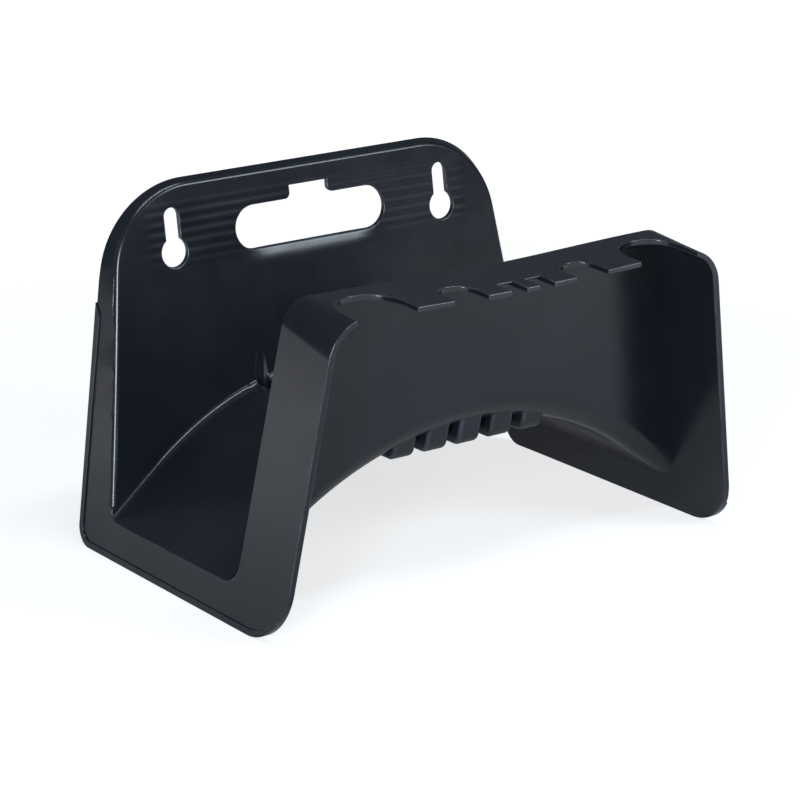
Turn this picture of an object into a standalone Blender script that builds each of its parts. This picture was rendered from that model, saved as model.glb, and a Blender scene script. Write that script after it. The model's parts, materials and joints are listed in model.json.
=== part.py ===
"""Wall hose hanger: a saddle between a wall plate and a front plate, moulded in one piece.

The real object is a single thin-walled moulding, open at the back, at the bottom and at the
front. It is modelled here the way its mould is: an outer form less an inner form that lies one
wall thickness inside it. The moulding is then divided along its own bends into its walls, which
stay face to face: the panels, the rim, the saddle, the end walls, the front plate, the shelf
and the flanges.

Units are metres. The shapes are drawn with the wall that the hanger is screwed to as the plane
y = 0, the front toward -Y, the floor under the end walls as z = 0 and the middle as x = 0. The
frame that carries them is then moved, so that the origin lies in the middle of the footprint.
"""
import math

import bmesh
import bpy
from mathutils import Matrix, Vector

# Whole moulding
WALL = 0.0030
HEIGHT = 0.1722
WIDTH_AT_BOTTOM = 0.2646
END_DRAFT = 0.163
OVERRUN = 0.010

# Rim against the wall
RIM_DRAFT = 0.126
RIM_CORNER_RADIUS = 0.046

# Wall panel, which leans back toward its top
PANEL_TOP_SETBACK = 0.0047
PANEL_LEAN = 0.144
PANEL_EDGE_DROP = 0.0034
PANEL_CORNER_RADIUS = 0.043
PANEL_EDGE_REACH = 0.0030
PANEL_EDGE_RADIUS = 0.0030

# Front plate, seen from the trough
FRONT_TOP_DISTANCE = 0.1472
FRONT_LEAN = 0.092
FRONT_CORNER_RADIUS = 0.013

# Accessory shelf and the free edge of the side flanges
SHELF_HEIGHT = 0.1481
SHELF_DROP = 0.0022
FREE_EDGE_REACH = 0.0387
FREE_EDGE_LEAN = 0.076
TAB_SETBACK = 0.0016
FREE_CORNER_RADIUS = 0.020
FRONT_FOOT_RADIUS = 0.028
REAR_FOOT_RADIUS = 0.010

# Saddle that the hose lies on
CREST_HEIGHT = 0.0730
SADDLE_END_HEIGHT = 0.0179
SADDLE_END_ANGLE = math.radians(37.2)
REAR_BEND_RADIUS = 0.0035
FRONT_BEND_RADIUS = 0.011

# Stiffening grooves across the crest
GROOVE_COUNT = 5
GROOVE_PITCH = 0.0192
GROOVE_WIDTH = 0.0066
GROOVE_DEPTH = 0.0103
GROOVE_REAR_REACH = 0.0045
GROOVE_FRONT_REACH = 0.0006
GROOVE_REAR_RISE = 0.039
GROOVE_FRONT_RISE = 0.020
GROOVE_REAR_RADIUS = 0.003
GROOVE_FRONT_RADIUS = 0.006

# Keyholes for the two wall screws
KEYHOLE_INSET = 0.0315
KEYHOLE_HEAD_BELOW_TOP = 0.0343
KEYHOLE_HEAD_RADIUS = 0.0072
KEYHOLE_SLOT_WIDTH = 0.0080
KEYHOLE_SLOT_BELOW_TOP = 0.0129

# Carrying handle slot with its notch
HANDLE_WIDTH = 0.0878
HANDLE_BELOW_TOP = 0.0181
HANDLE_OPENING = 0.0214
NOTCH_WIDTH = 0.0222
NOTCH_RISE = 0.0064
NOTCH_EAR_RADIUS = 0.003

# Cut-outs of the shelf, measured from its ends or its middle, and forward from its back edge
LARGE_CUTOUT_INSET = 0.02836
LARGE_CUTOUT_SETBACK = 0.0267
LARGE_CUTOUT_RADIUS = 0.0164
SMALL_CUTOUT_OFFSET = 0.0343
SMALL_CUTOUT_SETBACK = 0.0279
SMALL_CUTOUT_RADIUS = 0.0093
SLIT_OFFSET = 0.0079
SLIT_WIDTH = 0.0086
SLIT_DEPTH = 0.0115

# Lip round the lower outer edge
LIP_HEIGHT = 0.0030
LIP_PROUD = 0.0008
LIP_BELOW_TOP = 0.0542
LIP_FADE = 0.006

# Where the walls are told apart
SEAM_INSET = 0.0005
SEAM_MARGIN = 0.0018
CREST_SEAM_MARGIN = 0.0033
HANDLE_SEAM_MARGIN = 0.0077
SHELF_SEAM_MARGIN = 0.0231
RIM_SEAM_MARGIN = 0.0034

# Facets of the round stretches
CORNER_STEPS = 9
SIDE_STEPS = 6
BEND_STEPS = 6
CREST_STEPS = 24
HOLE_STEPS = 12
EDGE_STEPS = 4

COLOUR = (0.014, 0.015, 0.018, 1.0)
ROUGHNESS = 0.42
BEYOND = 0.200
TOUCH = 0.00002

# What follows from these
FREE_EDGE_DISTANCE = FRONT_TOP_DISTANCE + FREE_EDGE_REACH
SHELF_DEPTH = FREE_EDGE_REACH - TAB_SETBACK
SADDLE_END = WIDTH_AT_BOTTOM / 2 - END_DRAFT * SADDLE_END_HEIGHT
SADDLE_FALL = math.tan(SADDLE_END_ANGLE) * SADDLE_END - (CREST_HEIGHT - SADDLE_END_HEIGHT)
CREST_RADIUS = SADDLE_FALL / (1 / math.cos(SADDLE_END_ANGLE) - 1)
KEYHOLE_OFFSET = WIDTH_AT_BOTTOM / 2 - RIM_DRAFT * HEIGHT - KEYHOLE_INSET
HANDLE_TOP = HEIGHT - HANDLE_BELOW_TOP
HANDLE_BOTTOM = HANDLE_TOP - HANDLE_OPENING
LARGE_CUTOUT_OFFSET = WIDTH_AT_BOTTOM / 2 - END_DRAFT * SHELF_HEIGHT - LARGE_CUTOUT_INSET

for leftover in list(bpy.data.objects):
    bpy.data.objects.remove(leftover, do_unlink=True)

parts = bpy.data.collections.new("wall_hose_hanger")
cutters = bpy.data.collections.new("cutters")
for group in (parts, cutters):
    bpy.context.scene.collection.children.link(group)

root = bpy.data.objects.new("hanger_frame", None)
root.location = (0.0, FREE_EDGE_DISTANCE / 2, 0.0)
parts.objects.link(root)


def panel_face(height):
    """Y of the wall panel's front face at a height."""
    return -(PANEL_TOP_SETBACK + PANEL_LEAN * (HEIGHT - height))


def front_face(height):
    """Y of the front plate's face toward the trough at a height."""
    return -(FRONT_TOP_DISTANCE - FRONT_LEAN * (SHELF_HEIGHT - height))


def free_edge(height):
    """Y of the flanges' free edge at a height."""
    return -(FREE_EDGE_DISTANCE - FREE_EDGE_LEAN * (SHELF_HEIGHT - height))


def end_half_width(height):
    """X of the outer face of the end walls at a height."""
    return WIDTH_AT_BOTTOM / 2 - END_DRAFT * height


def arc(centre, radius, start, end, steps):
    """Points of an arc as pairs, from one angle to another."""
    angles = [start + (end - start) * step / steps for step in range(steps + 1)]
    return [(centre[0] + radius * math.cos(a), centre[1] + radius * math.sin(a)) for a in angles]


def loft(name, loops):
    """Closed solid through loops with equal numbers of points."""
    mesh = bmesh.new()
    rings = [[mesh.verts.new(point) for point in loop] for loop in loops]
    for near, far in zip(rings, rings[1:]):
        for i in range(len(near)):
            j = (i + 1) % len(near)
            mesh.faces.new((near[i], near[j], far[j], far[i]))
    mesh.faces.new(list(reversed(rings[0])))
    mesh.faces.new(rings[-1])
    bmesh.ops.recalc_face_normals(mesh, faces=mesh.faces)
    bmesh.ops.triangulate(mesh, faces=mesh.faces)
    return solid(name, mesh)


def solid(name, mesh):
    """Puts a bmesh into the file as a working object."""
    data = bpy.data.meshes.new(name)
    mesh.to_mesh(data)
    mesh.free()
    item = bpy.data.objects.new(name, data)
    cutters.objects.link(item)
    item.hide_render = True
    item.display_type = "WIRE"
    return item


def box(name, low, high):
    """Block between two corners."""
    mesh = bmesh.new()
    bmesh.ops.create_cube(mesh, size=1.0)
    middle = (Vector(low) + Vector(high)) / 2
    size = Vector(high) - Vector(low)
    for vertex in mesh.verts:
        vertex.co = Vector(vertex.co[i] * size[i] + middle[i] for i in range(3))
    return solid(name, mesh)


def prism(name, points, axis, low, high):
    """Flat outline pushed along X, Y or Z between two positions."""
    curve = bpy.data.curves.new(name, "CURVE")
    curve.dimensions = "2D"
    curve.fill_mode = "BOTH"
    curve.extrude = (high - low) / 2
    spline = curve.splines.new("POLY")
    spline.points.add(len(points) - 1)
    for control, point in zip(spline.points, points):
        control.co = (point[0], point[1], 0.0, 1.0)
    spline.use_cyclic_u = True
    drawn = bpy.data.objects.new(name, curve)
    cutters.objects.link(drawn)
    middle = (low + high) / 2
    turn = {"X": (math.pi / 2, 0.0, math.pi / 2), "Y": (math.pi / 2, 0.0, 0.0), "Z": (0.0, 0.0, 0.0)}
    drawn.rotation_euler = turn[axis]
    drawn.location = {"X": (middle, 0, 0), "Y": (0, middle, 0), "Z": (0, 0, middle)}[axis]
    bpy.context.view_layer.update()
    data = bpy.data.meshes.new_from_object(drawn.evaluated_get(bpy.context.evaluated_depsgraph_get()))
    mesh = bmesh.new()
    mesh.from_mesh(data)
    mesh.transform(drawn.matrix_world)
    bmesh.ops.remove_doubles(mesh, verts=mesh.verts, dist=0.000001)
    bmesh.ops.recalc_face_normals(mesh, faces=mesh.faces)
    bpy.data.objects.remove(drawn, do_unlink=True)
    bpy.data.meshes.remove(data)
    return solid(name, mesh)


def combine(name, base, tools, operation):
    """New solid from a base and its tools, by a Boolean for each tool."""
    result = base.copy()
    result.data = base.data.copy()
    result.name = name
    cutters.objects.link(result)
    for tool in tools:
        step = result.modifiers.new(tool.name, "BOOLEAN")
        step.operation = operation
        step.solver = "EXACT"
        step.object = tool
        bpy.context.view_layer.update()
        cut = bpy.data.meshes.new_from_object(result.evaluated_get(bpy.context.evaluated_depsgraph_get()))
        result.modifiers.clear()
        result.data = cut
    return result


def outline(half_bottom, half_top, bottom, top, radius):
    """Front view of a drafted block with two round upper corners, as X and Z pairs."""
    lean = math.atan((half_bottom - half_top) / (top - bottom))
    reach = radius * math.tan((math.pi / 2 - lean) / 2)
    corner = arc((half_top - reach, top - radius), radius, lean, math.pi / 2, CORNER_STEPS)
    start_x, start_z = corner[0]
    shares = [step / SIDE_STEPS for step in range(SIDE_STEPS)]
    side = [(half_bottom + (start_x - half_bottom) * s, bottom + (start_z - bottom) * s) for s in shares]
    right = side + corner
    return right + [(-x, z) for x, z in reversed(right)]


def station(half_width, top, radius, face, inset, forward):
    """One section of the body: an outline that follows a leaning face."""
    bottom = -OVERRUN if inset > 0 else 0.0
    side = inset * math.sqrt(1 + END_DRAFT ** 2)
    shape = outline(half_width(bottom) - side, half_width(top) - side, bottom, top - inset, radius - inset)
    return [(x, face(z) - forward, z) for x, z in shape]


def rim_half_width(height):
    """X of the rim's outer edge on the wall at a height."""
    return WIDTH_AT_BOTTOM / 2 - RIM_DRAFT * height


def body(name, inset):
    """Block that encloses the moulding, with the trough still filled."""
    overrun = OVERRUN if inset > 0 else 0.0
    sections = [
        station(rim_half_width, HEIGHT, RIM_CORNER_RADIUS, lambda z: 0.0, inset, -overrun),
        station(end_half_width, HEIGHT - PANEL_EDGE_DROP, PANEL_CORNER_RADIUS, panel_face, inset, PANEL_EDGE_REACH),
        station(end_half_width, SHELF_HEIGHT + SHELF_DROP, FRONT_CORNER_RADIUS, front_face, inset,
                -PANEL_EDGE_REACH),
        station(end_half_width, SHELF_HEIGHT, FREE_CORNER_RADIUS, free_edge, inset, overrun),
    ]
    return loft(name, sections)


def channel(rear, front, floor, rear_radius, front_radius, top):
    """Side view of a trough with two bends, as Y and Z pairs. A wall is Y at z = 0 and its lean."""
    rear_slope = math.sqrt(1 + rear[1] ** 2)
    front_slope = math.sqrt(1 + front[1] ** 2)
    rear_centre = (rear[0] + rear[1] * (floor + rear_radius) - rear_radius * rear_slope, floor + rear_radius)
    front_centre = (front[0] + front[1] * (floor + front_radius) + front_radius * front_slope,
                    floor + front_radius)
    points = [(rear[0] + rear[1] * top, top)]
    points += arc(rear_centre, rear_radius, -math.atan(rear[1]), -math.pi / 2, BEND_STEPS)
    points += arc(front_centre, front_radius, -math.pi / 2, -math.pi - math.atan(front[1]), BEND_STEPS)
    points.append((front[0] + front[1] * top, top))
    return points


def saddle_stations(offset):
    """X and floor height of the trough's sections: a round crest that runs into straight ends."""
    centre = CREST_HEIGHT - CREST_RADIUS
    radius = CREST_RADIUS - offset
    angles = [SADDLE_END_ANGLE * (2 * step / CREST_STEPS - 1) for step in range(CREST_STEPS + 1)]
    stations = [(radius * math.sin(a), centre + radius * math.cos(a)) for a in angles]
    reach = WIDTH_AT_BOTTOM / 2 + OVERRUN
    first, last = stations[0], stations[-1]
    fall = math.tan(SADDLE_END_ANGLE)
    start = (-reach, first[1] - fall * (reach + first[0]))
    end = (reach, last[1] - fall * (reach - last[0]))
    return [start] + stations + [end]


def panel_block():
    """Wall panel and rim as one block, whose front edge is rounded."""
    wall = station(rim_half_width, HEIGHT, RIM_CORNER_RADIUS, lambda z: 0.0, -TOUCH, 0.0)
    edge = station(end_half_width, HEIGHT - PANEL_EDGE_DROP, PANEL_CORNER_RADIUS, panel_face, -TOUCH,
                   PANEL_EDGE_REACH)
    loops = [[(x, OVERRUN, z) for x, y, z in wall]]
    for step in range(EDGE_STEPS + 1):
        angle = math.pi / 2 * step / EDGE_STEPS
        behind = PANEL_EDGE_RADIUS * (1 - math.sin(angle))
        inward = PANEL_EDGE_RADIUS * (1 - math.cos(angle))
        loop = []
        for i, (start, end) in enumerate(zip(wall, edge)):
            share = (panel_face(start[2]) + behind) / (end[1] - PANEL_LEAN * (end[2] - start[2]))
            before, after = edge[max(i - 1, 0)], edge[min(i + 1, len(edge) - 1)]
            along = Vector((after[0] - before[0], after[2] - before[2])).normalized()
            x = start[0] + (end[0] - start[0]) * share - along[1] * inward
            z = start[2] + (end[2] - start[2]) * share + along[0] * inward
            loop.append((x, panel_face(z) + behind - TOUCH, z))
        loops.append(loop)
    return loft("panel_block", loops)


def trough(name, offset):
    """Space that the hose lies in, grown by an offset."""
    rear = (panel_face(0) + offset * math.sqrt(1 + PANEL_LEAN ** 2), PANEL_LEAN)
    front = (front_face(0) - offset * math.sqrt(1 + FRONT_LEAN ** 2), -FRONT_LEAN)
    loops = []
    for x, floor in saddle_stations(offset):
        shape = channel(rear, front, floor, REAR_BEND_RADIUS + offset, FRONT_BEND_RADIUS + offset, BEYOND)
        loops.append([(x, y, z) for y, z in shape])
    return loft(name, loops)


def grooves(name, offset):
    """Grooves across the crest, which fade out up both plates, grown by an offset."""
    floor = CREST_HEIGHT - GROOVE_DEPTH
    rear_fade = CREST_HEIGHT + GROOVE_REAR_RISE
    front_fade = CREST_HEIGHT + GROOVE_FRONT_RISE
    rear_low = panel_face(floor) + GROOVE_REAR_REACH
    rear_lean = (panel_face(rear_fade) - rear_low) / (rear_fade - floor)
    front_low = front_face(floor) - GROOVE_FRONT_REACH
    front_lean = (front_face(front_fade) - front_low) / (front_fade - floor)
    rear = (rear_low - rear_lean * floor + offset * math.sqrt(1 + rear_lean ** 2), rear_lean)
    front = (front_low - front_lean * floor - offset * math.sqrt(1 + front_lean ** 2), front_lean)
    shape = channel(rear, front, floor - offset, GROOVE_REAR_RADIUS + offset, GROOVE_FRONT_RADIUS + offset,
                    rear_fade + OVERRUN)
    half = GROOVE_WIDTH / 2 + offset
    middles = [GROOVE_PITCH * (i - (GROOVE_COUNT - 1) / 2) for i in range(GROOVE_COUNT)]
    return [prism(f"{name}_{i}", shape, "X", x - half, x + half) for i, x in enumerate(middles)]


def foot_corners():
    """Cutters that round the rear and front corners of the end walls' lower edge."""
    half = WIDTH_AT_BOTTOM / 2 + OVERRUN
    rear_arc = arc((-REAR_FOOT_RADIUS, REAR_FOOT_RADIUS), REAR_FOOT_RADIUS + TOUCH, 0.0, -math.pi / 2, CORNER_STEPS)
    rear = [(OVERRUN, -OVERRUN), (OVERRUN, REAR_FOOT_RADIUS)] + rear_arc + [(-REAR_FOOT_RADIUS, -OVERRUN)]
    y = free_edge(FRONT_FOOT_RADIUS) + FRONT_FOOT_RADIUS * math.sqrt(1 + FREE_EDGE_LEAN ** 2)
    lean = math.atan(FREE_EDGE_LEAN)
    front_arc = arc((y, FRONT_FOOT_RADIUS), FRONT_FOOT_RADIUS + TOUCH, -math.pi / 2, -math.pi + lean, CORNER_STEPS)
    far = free_edge(0) - OVERRUN
    front = [(y, -OVERRUN)] + front_arc + [(far, front_arc[-1][1]), (far, -OVERRUN)]
    return [prism("rear_foot_corner", rear, "X", -half, half), prism("front_foot_corner", front, "X", -half, half)]


def lip():
    """Slightly proud strip along the lower edge and up the rear edge of the end walls."""
    half = WIDTH_AT_BOTTOM / 2 + OVERRUN
    bend = arc((-REAR_FOOT_RADIUS, REAR_FOOT_RADIUS), REAR_FOOT_RADIUS - LIP_HEIGHT, 0.0, -math.pi / 2, CORNER_STEPS)
    end = free_edge(0) + FRONT_FOOT_RADIUS
    top = HEIGHT - LIP_BELOW_TOP
    strip = [(OVERRUN, -OVERRUN), (OVERRUN, top), (0.0, top), (-LIP_HEIGHT, top - LIP_FADE)]
    strip += bend
    strip += [(end, LIP_HEIGHT), (end - LIP_FADE, -OVERRUN)]
    band = prism("lip_band", strip, "X", -half, half)
    return combine("lip", body("lip_body", -LIP_PROUD), [band], "INTERSECT")


def keyhole(name, middle):
    """Round head with a slot that rises from it."""
    half = KEYHOLE_SLOT_WIDTH / 2
    side = math.asin(half / KEYHOLE_HEAD_RADIUS)
    head = arc((middle, HEIGHT - KEYHOLE_HEAD_BELOW_TOP), KEYHOLE_HEAD_RADIUS, math.pi / 2 + side,
               math.pi * 5 / 2 - side, HOLE_STEPS * 2)
    top = arc((middle, HEIGHT - KEYHOLE_SLOT_BELOW_TOP - half), half, 0.0, math.pi, HOLE_STEPS)
    return prism(name, head + top, "Y", -OVERRUN * 4, OVERRUN)


def handle_slot():
    """Long slot with round ends and a notch with rounded ears in its upper edge."""
    radius = (HANDLE_TOP - HANDLE_BOTTOM) / 2
    middle = (HANDLE_TOP + HANDLE_BOTTOM) / 2
    straight = HANDLE_WIDTH / 2 - radius
    right = arc((straight, middle), radius, -math.pi / 2, math.pi / 2, HOLE_STEPS)
    ear = arc((NOTCH_WIDTH / 2 + NOTCH_EAR_RADIUS, HANDLE_TOP + NOTCH_EAR_RADIUS), NOTCH_EAR_RADIUS,
              -math.pi / 2, -math.pi, BEND_STEPS)
    half = right + ear + [(NOTCH_WIDTH / 2, HANDLE_TOP + NOTCH_RISE)]
    points = half + [(-x, z) for x, z in reversed(half)]
    return prism("handle_slot", points, "Y", -OVERRUN * 4, OVERRUN)


def shelf_cutouts():
    """Openings in the shelf for accessories, all open toward the front."""
    back = front_face(SHELF_HEIGHT)
    beyond = back - SHELF_DEPTH - OVERRUN
    low = SHELF_HEIGHT - FRONT_CORNER_RADIUS
    high = SHELF_HEIGHT + OVERRUN
    made = []
    for side in (-1, 1):
        for offset, setback, radius in ((LARGE_CUTOUT_OFFSET, LARGE_CUTOUT_SETBACK, LARGE_CUTOUT_RADIUS),
                                        (SMALL_CUTOUT_OFFSET, SMALL_CUTOUT_SETBACK, SMALL_CUTOUT_RADIUS)):
            x = side * offset
            shape = arc((x, back - setback), radius, 0.0, math.pi, HOLE_STEPS * 2)
            shape += [(x - radius, beyond), (x + radius, beyond)]
            made.append(prism(f"cutout_{len(made)}", shape, "Z", low, high))
        x = side * SLIT_OFFSET
        slit_end = back - SHELF_DEPTH + SLIT_DEPTH
        made.append(box(f"slit_{len(made)}", (x - SLIT_WIDTH / 2, beyond, low), (x + SLIT_WIDTH / 2, slit_end, high)))
    tab_reach = LARGE_CUTOUT_OFFSET + LARGE_CUTOUT_RADIUS
    made.append(box("tab_trim", (-tab_reach, beyond, low), (tab_reach, back - SHELF_DEPTH, high)))
    return made


def moulding():
    """Whole hanger in one piece."""
    block = combine("block", body("outer_body", 0.0), [lip()], "UNION")
    reach = trough("edge_reach", 0.0)
    reach.data.transform(Matrix.Translation((0.0, PANEL_EDGE_RADIUS, TOUCH)))
    edge_relief = combine("edge_relief", reach, [panel_block()], "DIFFERENCE")
    outer_cuts = foot_corners() + [trough("outer_trough", 0.0), edge_relief] + grooves("outer_groove", 0.0)
    outer = combine("outer_form", block, outer_cuts, "DIFFERENCE")
    inner_cuts = [trough("inner_trough", WALL)] + grooves("inner_groove", WALL)
    inner = combine("inner_form", body("inner_body", WALL), inner_cuts, "DIFFERENCE")
    openings = [keyhole("keyhole_left", -KEYHOLE_OFFSET), keyhole("keyhole_right", KEYHOLE_OFFSET)]
    openings.append(handle_slot())
    openings += shelf_cutouts()
    return combine("moulding", outer, [inner] + openings, "DIFFERENCE")


def finish(item):
    """Gives a wall its material and smooth shading, and puts it with the parts."""
    cutters.objects.unlink(item)
    parts.objects.link(item)
    item.hide_render = False
    item.display_type = "TEXTURED"
    item.parent = root
    material = bpy.data.materials.new(item.name)
    material.use_nodes = True
    shader = material.node_tree.nodes["Principled BSDF"]
    shader.inputs["Base Color"].default_value = COLOUR
    shader.inputs["Roughness"].default_value = ROUGHNESS
    shader.inputs["Metallic"].default_value = 0.0
    item.data.materials.clear()
    item.data.materials.append(material)
    item.data.shade_smooth()
    item.data.set_sharp_from_angle(angle=math.radians(30))


def divide():
    """Tells the walls of the moulding apart: first the sheet from the skirt, then along planes."""
    whole = moulding()
    core = body("core", WALL + SEAM_INSET)
    sheet = combine("sheet", whole, [core], "INTERSECT")
    skirt = combine("skirt", whole, [core], "DIFFERENCE")
    far = BEYOND
    back = panel_face(0) - REAR_BEND_RADIUS - SEAM_MARGIN
    front = front_face(0) + FRONT_BEND_RADIUS + SEAM_MARGIN
    crest = GROOVE_PITCH * (GROOVE_COUNT - 1) / 2 + GROOVE_WIDTH / 2 + WALL + CREST_SEAM_MARGIN
    upper = HANDLE_BOTTOM - HANDLE_SEAM_MARGIN
    under_shelf = SHELF_HEIGHT - SHELF_SEAM_MARGIN
    rim = rim_half_width(HEIGHT) - RIM_CORNER_RADIUS + RIM_SEAM_MARGIN
    cutout_side = LARGE_CUTOUT_OFFSET + LARGE_CUTOUT_RADIUS + SEAM_MARGIN
    regions = {
        "hanging_panel": (sheet, (-far, back, upper), (far, far, far)),
        "back_panel_crest": (sheet, (-crest, back, -far), (crest, far, upper)),
        "saddle_crest": (sheet, (-crest, front, -far), (crest, back, far)),
        "front_plate_crest": (sheet, (-crest, -far, -far), (crest, front, far)),
        "rim_top": (skirt, (-rim, back, -far), (rim, far, far)),
        "accessory_shelf": (skirt, (-cutout_side, -far, under_shelf), (cutout_side, front, far)),
    }
    right_regions = {
        "back_panel": (sheet, (crest, back, -far), (far, far, upper)),
        "saddle": (sheet, (crest, front, -far), (far, back, far)),
        "front_plate": (sheet, (crest, -far, -far), (far, front, far)),
        "rim_corner": (skirt, (rim, back, upper), (far, far, far)),
        "rim_side": (skirt, (rim, back, -far), (far, far, upper)),
        "end_wall": (skirt, (rim, front, -far), (far, back, far)),
        "shelf_corner": (skirt, (cutout_side, -far, under_shelf), (far, front, far)),
        "front_flange": (skirt, (rim, -far, -far), (far, front, under_shelf)),
    }
    for name, (source, low, high) in right_regions.items():
        regions[f"{name}_right"] = (source, low, high)
        regions[f"{name}_left"] = (source, (-high[0], low[1], low[2]), (-low[0], high[1], high[2]))
    for name, (source, low, high) in regions.items():
        region = box(f"{name}_region", low, high)
        finish(combine(name, source, [region], "INTERSECT"))


divide()
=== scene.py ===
"""Wall hose hanger: one satin anthracite moulding on a pale studio floor.

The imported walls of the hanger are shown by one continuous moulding, drawn from the same
dimensions apart from its grooves, with rounded edges, a bowed shelf and an uneven wall panel.
Shapes are drawn with the wall that the hanger is screwed to as the plane y = 0, the front toward
-Y and the floor as z = 0, and are then moved into the frame.
"""
import json
import math

import bmesh
import bpy
from mathutils import Matrix, Vector
from mathutils.bvhtree import BVHTree
from mathutils.geometry import intersect_point_line
from mathutils.kdtree import KDTree

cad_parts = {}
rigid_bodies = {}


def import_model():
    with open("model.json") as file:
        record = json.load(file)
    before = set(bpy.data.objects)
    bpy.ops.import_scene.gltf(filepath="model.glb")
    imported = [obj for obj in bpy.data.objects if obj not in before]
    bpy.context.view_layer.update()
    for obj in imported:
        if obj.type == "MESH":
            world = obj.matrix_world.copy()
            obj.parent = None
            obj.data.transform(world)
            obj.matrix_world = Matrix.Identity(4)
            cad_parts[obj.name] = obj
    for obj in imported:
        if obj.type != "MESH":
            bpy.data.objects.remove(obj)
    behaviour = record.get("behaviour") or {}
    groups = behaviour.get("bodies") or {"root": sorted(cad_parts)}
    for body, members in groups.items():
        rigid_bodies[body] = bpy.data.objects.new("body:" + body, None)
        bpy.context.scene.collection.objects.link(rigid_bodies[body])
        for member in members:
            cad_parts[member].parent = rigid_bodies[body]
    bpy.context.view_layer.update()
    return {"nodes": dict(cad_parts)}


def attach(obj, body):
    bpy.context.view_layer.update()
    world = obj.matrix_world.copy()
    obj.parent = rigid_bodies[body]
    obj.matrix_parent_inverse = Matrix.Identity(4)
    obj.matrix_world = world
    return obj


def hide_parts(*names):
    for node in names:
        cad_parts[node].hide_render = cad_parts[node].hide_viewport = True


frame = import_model()

# Whole moulding
WALL = 0.0030
HEIGHT = 0.1722
WIDTH_AT_BOTTOM = 0.2646
END_DRAFT = 0.163
OVERRUN = 0.010

# Rim against the wall
RIM_DRAFT = 0.126
RIM_CORNER_RADIUS = 0.046

# Wall panel, which leans back toward its top
PANEL_TOP_SETBACK = 0.0047
PANEL_LEAN = 0.144
PANEL_EDGE_DROP = 0.0034
PANEL_CORNER_RADIUS = 0.043
PANEL_EDGE_REACH = 0.0030
PANEL_EDGE_RADIUS = 0.0030

# Front plate, seen from the trough
FRONT_TOP_DISTANCE = 0.1472
FRONT_LEAN = 0.092
FRONT_CORNER_RADIUS = 0.013

# Accessory shelf and the free edge of the side flanges
SHELF_HEIGHT = 0.1481
SHELF_DROP = 0.0022
FREE_EDGE_REACH = 0.0387
FREE_EDGE_LEAN = 0.076
TAB_SETBACK = 0.0016
FREE_CORNER_RADIUS = 0.020
FRONT_FOOT_RADIUS = 0.028
REAR_FOOT_RADIUS = 0.010

# Saddle that the hose lies on
CREST_HEIGHT = 0.0730
SADDLE_END_HEIGHT = 0.0179
SADDLE_END_ANGLE = math.radians(37.2)
REAR_BEND_RADIUS = 0.0035
FRONT_BEND_RADIUS = 0.011

# Stiffening grooves across the crest
GROOVE_COUNT = 5
GROOVE_PITCH = 0.0187
GROOVE_WIDTH = 0.0066
GROOVE_DEPTH = 0.0103
GROOVE_REAR_REACH = 0.0030
GROOVE_FRONT_REACH = -0.0051
GROOVE_REAR_RISE = 0.014
GROOVE_FRONT_RISE = 0.020
GROOVE_REAR_RADIUS = 0.003
GROOVE_FRONT_RADIUS = 0.0025

# Keyholes for the two wall screws
KEYHOLE_INSET = 0.0315
KEYHOLE_HEAD_BELOW_TOP = 0.0343
KEYHOLE_HEAD_RADIUS = 0.0072
KEYHOLE_SLOT_WIDTH = 0.0080
KEYHOLE_SLOT_BELOW_TOP = 0.0129

# Carrying handle slot with its notch
HANDLE_WIDTH = 0.0878
HANDLE_BELOW_TOP = 0.0181
HANDLE_OPENING = 0.0214
NOTCH_WIDTH = 0.0222
NOTCH_RISE = 0.0064
NOTCH_EAR_RADIUS = 0.003

# Cut-outs of the shelf, measured from its ends or its middle, and forward from its back edge
LARGE_CUTOUT_INSET = 0.02836
LARGE_CUTOUT_SETBACK = 0.0267
LARGE_CUTOUT_RADIUS = 0.0164
SMALL_CUTOUT_OFFSET = 0.0343
SMALL_CUTOUT_SETBACK = 0.0279
SMALL_CUTOUT_RADIUS = 0.0093
SLIT_OFFSET = 0.0079
SLIT_WIDTH = 0.0086
SLIT_DEPTH = 0.0115

# Lip round the lower outer edge
LIP_HEIGHT = 0.0030
LIP_PROUD = 0.0008
LIP_BELOW_TOP = 0.0542
LIP_FADE = 0.006
LIP_TURN = math.radians(58)
LIP_TAPER = 0.75

# Roundings of the finished moulding's edges
EDGE_ROUNDING = 0.0006
LIP_ROUNDING = 0.00025
RIB_ROUNDING = 0.0020
GROOVE_ROUNDING = 0.0030
SMALLEST_BEND = 0.0005
ROUNDED_FROM = math.radians(24)
LIP_ZONE_MARGIN = 0.002
REAR_ZONE = REAR_FOOT_RADIUS * 1.3
LIP_END_CLEARANCE = 0.005
LIP_END_FADE = 0.008

# Room for a rounding between edges that run side by side
SAMPLE_STEP = 0.0010
SEARCH_REACH = SAMPLE_STEP * 1.5
ALONGSIDE = 0.7
BESIDE_SHARE = 0.8
NO_ROOM = 0.00001
ROOM_SHARE = 0.4

# Tolerances of the sharp mesh and of the seam between panel and rim
MERGED_WITHIN = 0.00002
DEGENERATE_LENGTH = 0.00001
FLAT_WITHIN = math.radians(0.05)
SEAM_WIDTH = 0.00006
SEAM_OVERLAP = 0.01
CUT_TOLERANCE = 0.000001

# Shelf that bows forward and sags in its middle, with the upper part of the front plate
SHELF_BOW = 0.0011
SHELF_SAG = 0.0015
BOW_HALF_WIDTH = 0.098
BOW_START = 0.085
BOW_CUTS_END = SHELF_HEIGHT - 0.004
BOW_STRIPS = 28
BOW_LEVELS = 9

# Wall panel that rolls back below the handle slot
ROLL_DEPTH = 0.0010
ROLL_BELOW = 0.0075
ROLL_ABOVE = 0.0100
ROLL_HALF_WIDTH = 0.046
ROLL_FADE = 0.022
ROLL_STRIPS = 23
ROLL_LEVELS = 14

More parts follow.
